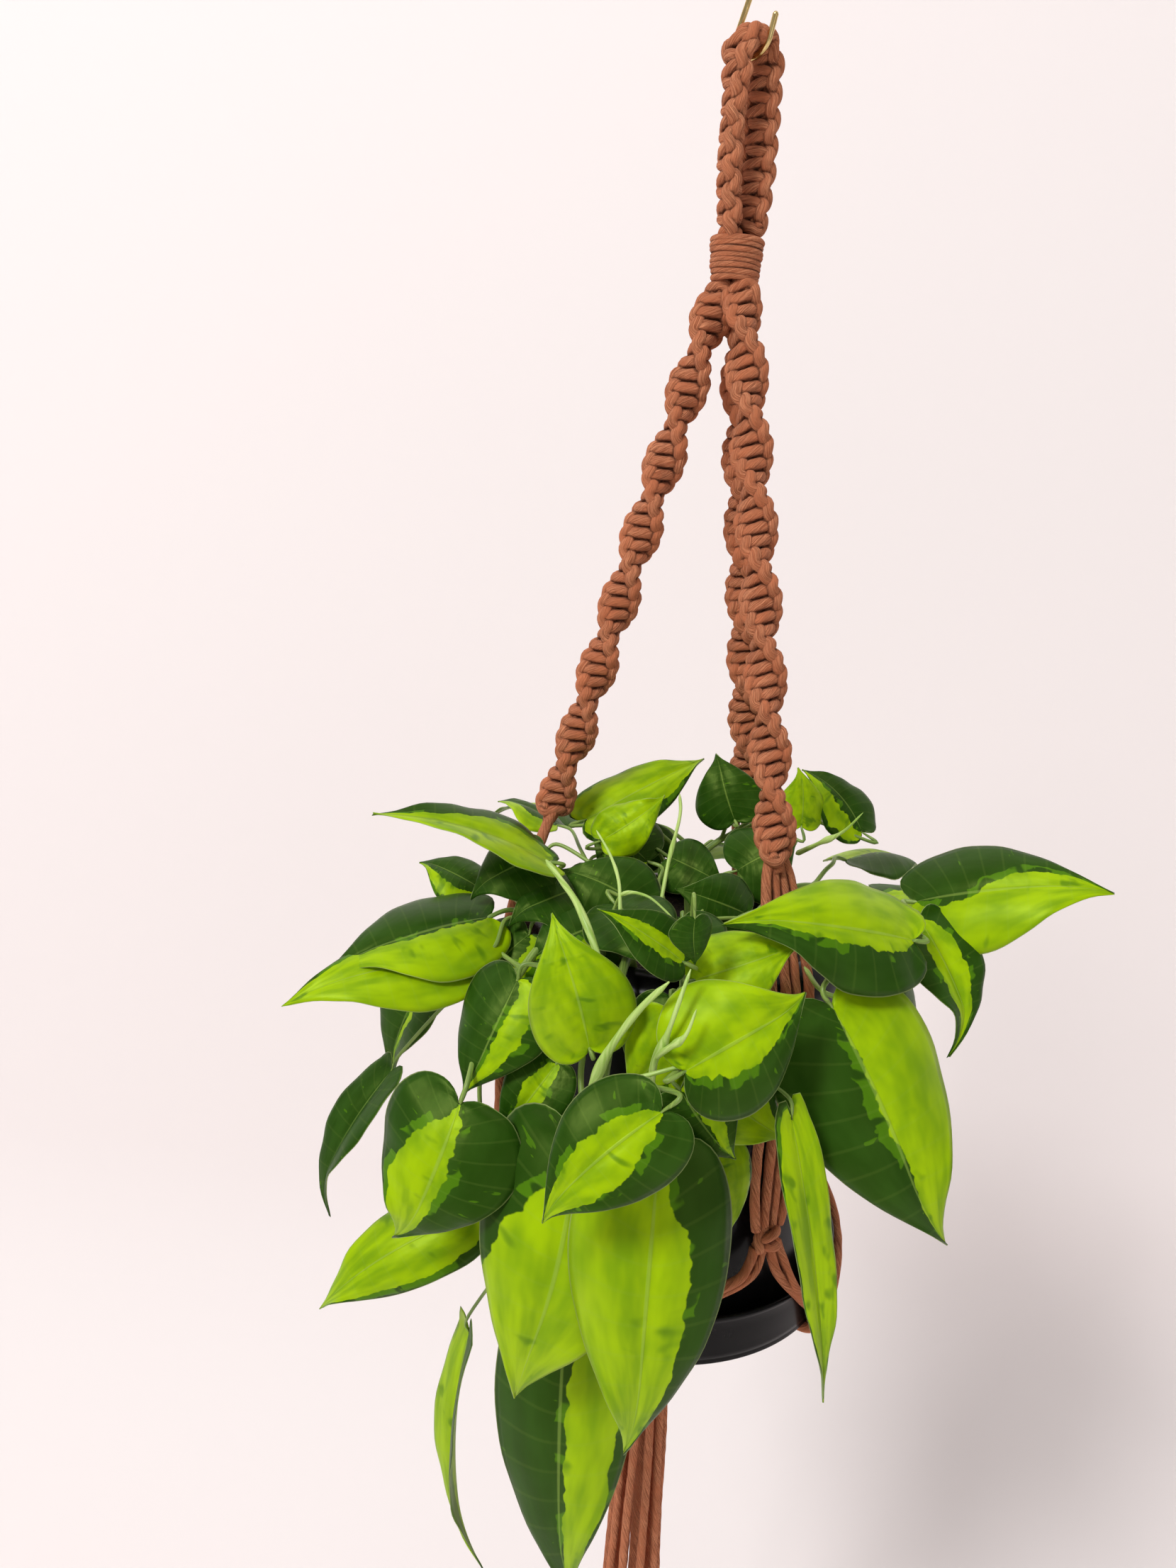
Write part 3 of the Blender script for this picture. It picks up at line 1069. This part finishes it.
def build_leaves(name, blades, index, material):
    points = []
    faces = []
    leaf = []
    zones = []
    wide = 2 * CELLS + 1
    for number, (base, tip, width, face, arch, _, zone, fold, wave, curl) in enumerate(blades):
        seed = index * 11 + number * 3 + 5
        top, bottom, marks = leaf_mesh(base, tip, width, face, arch, fold, wave, curl, seed)
        first = len(points)
        n = len(top)
        points.extend((top * MM).tolist())
        points.extend((bottom * MM).tolist())
        leaf.extend(marks[:, :3].tolist() * 2)
        low = zone[0] + (zone[-2] - zone[0]) * marks[:, 3]
        high = zone[1] + (zone[-1] - zone[1]) * marks[:, 3]
        for under in (0.0, 1.0):
            zones.extend(np.stack((low, high, np.full(n, under)), axis=1).tolist())
        for i in range(RIBS - 1):
            for j in range(wide - 1):
                q = first + i * wide + j
                faces.append([q, q + 1, q + wide + 1, q + wide])
                faces.append([q + n + wide, q + n + wide + 1, q + n + 1, q + n])
        loop = [i * wide for i in range(RIBS)] + [(RIBS - 1) * wide + j for j in range(1, wide)]
        loop += [i * wide + wide - 1 for i in range(RIBS - 2, -1, -1)] + list(range(wide - 2, 0, -1))
        for a, b in zip(loop, loop[1:] + loop[:1]):
            faces.append([first + a, first + b, first + b + n, first + a + n])
    mesh = bpy.data.meshes.new(name)
    mesh.from_pydata(points, [], faces)
    for label, values in (("leaf", leaf), ("zone", zones)):
        attribute = mesh.attributes.new(label, "FLOAT_VECTOR", "POINT")
        attribute.data.foreach_set("vector", np.array(values).ravel())
    mesh.validate()
    placed(finished(name, mesh, material), "planted_pot", "leaf", name)


def point_on(line, share):
    return line[int(round(share * (len(line) - 1)))]


def build_stems(name, route, blades, material):
    tubes = Tubes()
    stem = inside(route, 1.5)
    radius = np.interp(np.linspace(0, 1, len(stem)), (0, 0.5, 1), (2.1, 1.8, 1.45))
    tubes.add(stem, radius, sides=12, lay=0.1)
    for base, tip, width, _, _, at, *_ in blades:
        root = point_on(stem, at)
        base = np.array(base, float)
        back = unit(np.array(tip, float) - base)
        end = base + back * 2.0
        span = np.linalg.norm(end - root)
        middle = (root + end) / 2 + np.array((0, 0, 0.16 * span))
        near = base - back * min(8.0, span * 0.2) + np.array((0, 0, 0.8))
        rising = middle * 0.6 + root * 0.4 + np.array((0, 0, 0.03 * span))
        line = through([root, rising, middle, near, base, end], 1.2)
        thick = min(1.25, 0.6 + width * 0.011)
        radius = np.interp(np.linspace(0, 1, len(line)), (0, 0.08, 0.9, 1),
                           (thick * 1.7, thick, thick * 0.85, 0.3))
        tubes.add(line, radius, sides=10, lay=0.1)
    placed(tubes.make(name, material), "planted_pot", "stem", name)


# Young shoots and pale stalks that stand out of the crown: points, then radii at start and end.
SHOOTS = [
    ([(-57, -58, -367), (-49, -74, -369), (-39, -92, -374), (-29, -104, -391), (-25, -108, -410)], 1.1, 1.4),
    ([(-38, -50, -355), (-31, -62, -361), (-26, -76, -367), (-24, -84, -378)], 0.4, 0.8),
    ([(-36, -108, -468), (-34, -112, -458), (-29, -122, -435), (-23, -128, -414), (-13, -131, -395),
      (-3, -131, -383)], 1.9, 1.1),
    ([(-10, -118, -440), (-7, -124, -430), (-6, -130, -414), (-3, -134, -404), (0, -135, -392),
      (4, -130, -378)], 1.7, 0.6),
    ([(-29, -122, -435), (-18, -131, -423), (-8, -133, -418), (4, -133, -413)], 0.9, 0.7),
    ([(-6, -130, -412), (-1, -138, -404), (4, -140, -398), (7, -138, -389)], 1.5, 0.4),
    ([(50, -60, -402), (56, -78, -404), (68, -82, -404), (80, -76, -399), (87, -60, -390)], 1.0, 0.9),
    ([(45, -30, -364), (52, -46, -354), (60, -54, -346), (66, -60, -336)], 1.3, 0.3),
    ([(-29, -62, -388), (-24, -80, -371), (-14, -88, -368), (-4, -92, -374)], 0.8, 0.4),
    ([(-6, 8, -352), (-5, -8, -358), (-8, -30, -372), (-10, -44, -388)], 0.7, 0.9),
]


def make_shoots(material):
    tubes = Tubes()
    for points, start, end in SHOOTS:
        line = through(points, 1.0)
        share = np.linspace(0, 1, len(line))
        radius = start + (end - start) * share
        radius += 0.45 * start * np.exp(-((share - 0.55) / 0.07) ** 2)
        radius *= np.clip(np.minimum(share, 1 - share) * 14 + 0.3, 0, 1)
        tubes.add(line, radius, sides=12, lay=0.1, wobble=0.08)
    placed(tubes.make("shoots", material), "planted_pot", "stem")


# ---------------------------------------------------------------- stage
def light(name, kind, at, energy, size, aim=(0, 0, -0.4), colour=(1, 1, 1)):
    data = bpy.data.lights.new(name, kind)
    data.energy = energy
    data.color = colour
    data.shape = "DISK"
    data.size = size
    lamp = bpy.data.objects.new(name, data)
    bpy.context.collection.objects.link(lamp)
    lamp.location = at
    lamp.rotation_euler = (Vector(aim) - Vector(at)).to_track_quat("-Z", "Y").to_euler()


def make_stage():
    """A pale floor that curves up into a wall behind, and soft light from above in front."""
    floor_z = cad_box[0][2] - 0.35
    wall_y = 0.52
    bend = 0.30
    outline = [(-3.0, floor_z), (wall_y - bend, floor_z)]
    outline += arc((wall_y - bend, floor_z + bend), bend, -90, 0, 16)[1:]
    outline += [(wall_y, 2.5)]
    points = []
    for x in (-4.0, 4.0):
        points.extend((x, y, z) for y, z in outline)
    n = len(outline)
    faces = [[n + i, n + i + 1, i + 1, i] for i in range(n - 1)]
    mesh = bpy.data.meshes.new("floor")
    mesh.from_pydata(points, [], faces)
    finished("floor", mesh, plain("pale_floor", (0.93, 0.865, 0.855), 0.9))
    world = bpy.data.worlds.new("studio")
    bpy.context.scene.world = world
    world.use_nodes = True
    world.node_tree.nodes["Background"].inputs["Color"].default_value = (1.0, 0.985, 0.975, 1)
    world.node_tree.nodes["Background"].inputs["Strength"].default_value = 0.36
    light("key", "AREA", (-1.65, -2.45, 2.3), 104, 1.0)
    light("fill", "AREA", (1.6, -2.4, 0.1), 6, 2.0)
    light("top", "AREA", (0.0, -0.7, 2.4), 9, 1.4)


# ---------------------------------------------------------------- build
make_camera()
cord_material = cotton()
make_fringe(cord_material)
make_hook(brass())
make_strap(cord_material)
make_wrap("upper_wrap_knot", ["upper_wrap_knot", "gathered_cords_upper"],
          WRAP_TOP_Z, WRAP_BOTTOM_Z, 10.4, 1.5, 8, cord_material)
for side in ARM_AZIMUTHS:
    make_arm(side, cord_material)
make_net(cord_material)
make_hub(cord_material)
make_wrap("lower_wrap_knot", ["lower_wrap_knot"], LOWER_WRAP_TOP_Z, LOWER_WRAP_BOTTOM_Z, 10.2, 0.3, 8,
          cord_material)
plastic = black_plastic()
make_pot(plastic)
make_saucer(plastic)
make_soil(compost())
leaf_material = leaf_skin()
stalk_material = stem_skin("stalk", (0.26, 0.38, 0.07), (0.12, 0.21, 0.03))
for index, (vine, (route, blades)) in enumerate(VINES.items()):
    build_stems(f"vine_stem_{vine}", route, blades, stalk_material)
    build_leaves(f"leaves_{vine}", blades, index, leaf_material)
make_shoots(stem_skin("young_shoot", (0.50, 0.66, 0.20), (0.30, 0.48, 0.07)))
make_stage()
bpy.context.scene.view_settings.view_transform = "Standard"
